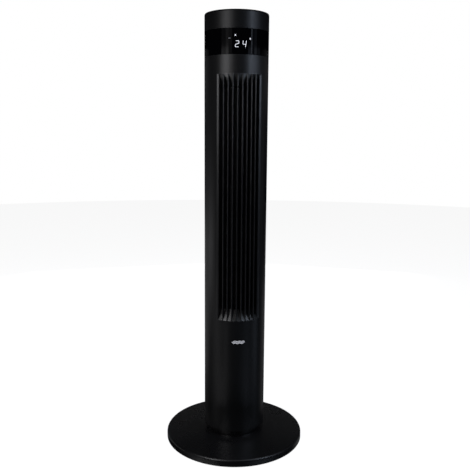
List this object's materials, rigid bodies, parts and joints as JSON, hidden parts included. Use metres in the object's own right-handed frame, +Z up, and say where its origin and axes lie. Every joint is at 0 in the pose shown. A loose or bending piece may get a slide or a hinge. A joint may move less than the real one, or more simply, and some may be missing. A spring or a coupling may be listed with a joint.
{
  "type": "tower fan",
  "caption": "Upright tower fan: a round column with a front grille of vertical fins and a display band turns on a low round base, with a cross-flow impeller inside.",
  "frame": {"origin": "centre of the round base at floor level, on the axis the column turns about", "axes": "+Z up along the column; -Y out of the front grille; +X to the right of someone who faces the fan"},
  "size_m": [0.364, 0.364, 1.103],
  "materials": {
    "shell_plastic": "black satin moulded plastic",
    "grille_plastic": "black satin moulded plastic",
    "gloss_band": "deep black polished plastic",
    "base_plastic": "black semi-gloss moulded plastic",
    "key_plastic": "dark grey satin plastic",
    "inner_plastic": "dark grey moulded plastic",
    "white_acetal": "natural acetal",
    "rubber": "black rubber",
    "impeller_plastic": "black moulded plastic",
    "steel": "zinc-plated steel",
    "weight_iron": "pressed iron",
    "motor_steel": "pressed steel",
    "laminations": "stacked electrical steel",
    "copper": "enamelled copper wire",
    "bronze": "sintered bronze",
    "screw_steel": "black-zinc steel",
    "board_green": "circuit board",
    "component_black": "moulded components",
    "led_white": "white LED diffuser",
    "badge_metal": "satin aluminium",
    "loom_sleeve": "woven sleeve"
  },
  "bodies": {
    "base": {"base_cover": "base_plastic", "base_plate": "inner_plastic", "base_weight": "weight_iron", "rubber_feet": "rubber", "base_screws": "screw_steel", "cord_gland": "rubber", "swivel_collar": "base_plastic", "thrust_ring": "white_acetal", "pivot_tube": "steel", "pivot_screws": "screw_steel", "swing_gear": "white_acetal", "ring_nut": "steel"},
    "tower": {"column_floor": "inner_plastic", "front_housing": "shell_plastic", "rear_housing": "shell_plastic", "case_screws": "screw_steel", "front_grille": "grille_plastic", "rear_grille": "grille_plastic", "handle_cup": "shell_plastic", "badge": "badge_metal", "swing_motor": "motor_steel", "swing_motor_screws": "screw_steel", "duct_scroll": "inner_plastic", "duct_tongue": "inner_plastic", "top_bearing": "bronze", "bearing_boot": "rubber", "bearing_bridge": "inner_plastic", "motor_bracket": "inner_plastic", "motor_upper_bell": "motor_steel", "motor_lower_bell": "motor_steel", "motor_stator": "laminations", "motor_windings": "copper", "motor_bearings": "bronze", "motor_grommets": "rubber", "motor_screws": "screw_steel", "board_bracket": "inner_plastic", "power_board": "board_green", "board_parts": "component_black", "run_capacitor": "component_black", "wiring_loom": "loom_sleeve", "head_frame": "inner_plastic", "display_band": "gloss_band", "display_board": "board_green", "digit_module": "led_white", "top_cap": "shell_plastic", "control_panel": "gloss_band", "control_board": "board_green", "tact_switches": "component_black"},
    "impeller": {"impeller_sections": "impeller_plastic", "impeller_hub": "impeller_plastic", "impeller_end": "impeller_plastic", "impeller_pin": "steel", "motor_shaft": "steel", "motor_rotor": "laminations"},
    "swing_drive": {"swing_pinion": "white_acetal"},
    "power_key": {"power_button": "key_plastic"},
    "speed_key": {"speed_button": "key_plastic"},
    "mode_key": {"mode_button": "key_plastic"},
    "timer_key": {"timer_button": "key_plastic"},
    "swing_key": {"swing_button": "key_plastic"}
  },
  "joints": [
    {"name": "swing", "type": "hinge", "parent": "base", "child": "tower", "pos_m": [0, 0, 0.046], "axis": [0, 0, 1], "range_deg": [-40, 40]},
    {"name": "impeller_spin", "type": "hinge", "parent": "tower", "child": "impeller", "pos_m": [0, 0, 0.36], "axis": [0, 0, 1], "continuous": true},
    {"name": "pinion_spin", "type": "hinge", "parent": "tower", "child": "swing_drive", "pos_m": [0.036, 0, 0.077], "axis": [0, 0, 1], "range_deg": [-120, 120]},
    {"name": "power_press", "type": "slide", "parent": "tower", "child": "power_key", "axis": [0, 0, -1], "range_m": [0, 0.001], "stiffness_N_per_m": 400},
    {"name": "speed_press", "type": "slide", "parent": "tower", "child": "speed_key", "axis": [0, 0, -1], "range_m": [0, 0.001], "stiffness_N_per_m": 400},
    {"name": "mode_press", "type": "slide", "parent": "tower", "child": "mode_key", "axis": [0, 0, -1], "range_m": [0, 0.001], "stiffness_N_per_m": 400},
    {"name": "timer_press", "type": "slide", "parent": "tower", "child": "timer_key", "axis": [0, 0, -1], "range_m": [0, 0.001], "stiffness_N_per_m": 400},
    {"name": "swing_press", "type": "slide", "parent": "tower", "child": "swing_key", "axis": [0, 0, -1], "range_m": [0, 0.001], "stiffness_N_per_m": 400}
  ],
  "couplings": [
    {"joint": "pinion_spin", "follows": "swing", "ratio": 3}
  ]
}
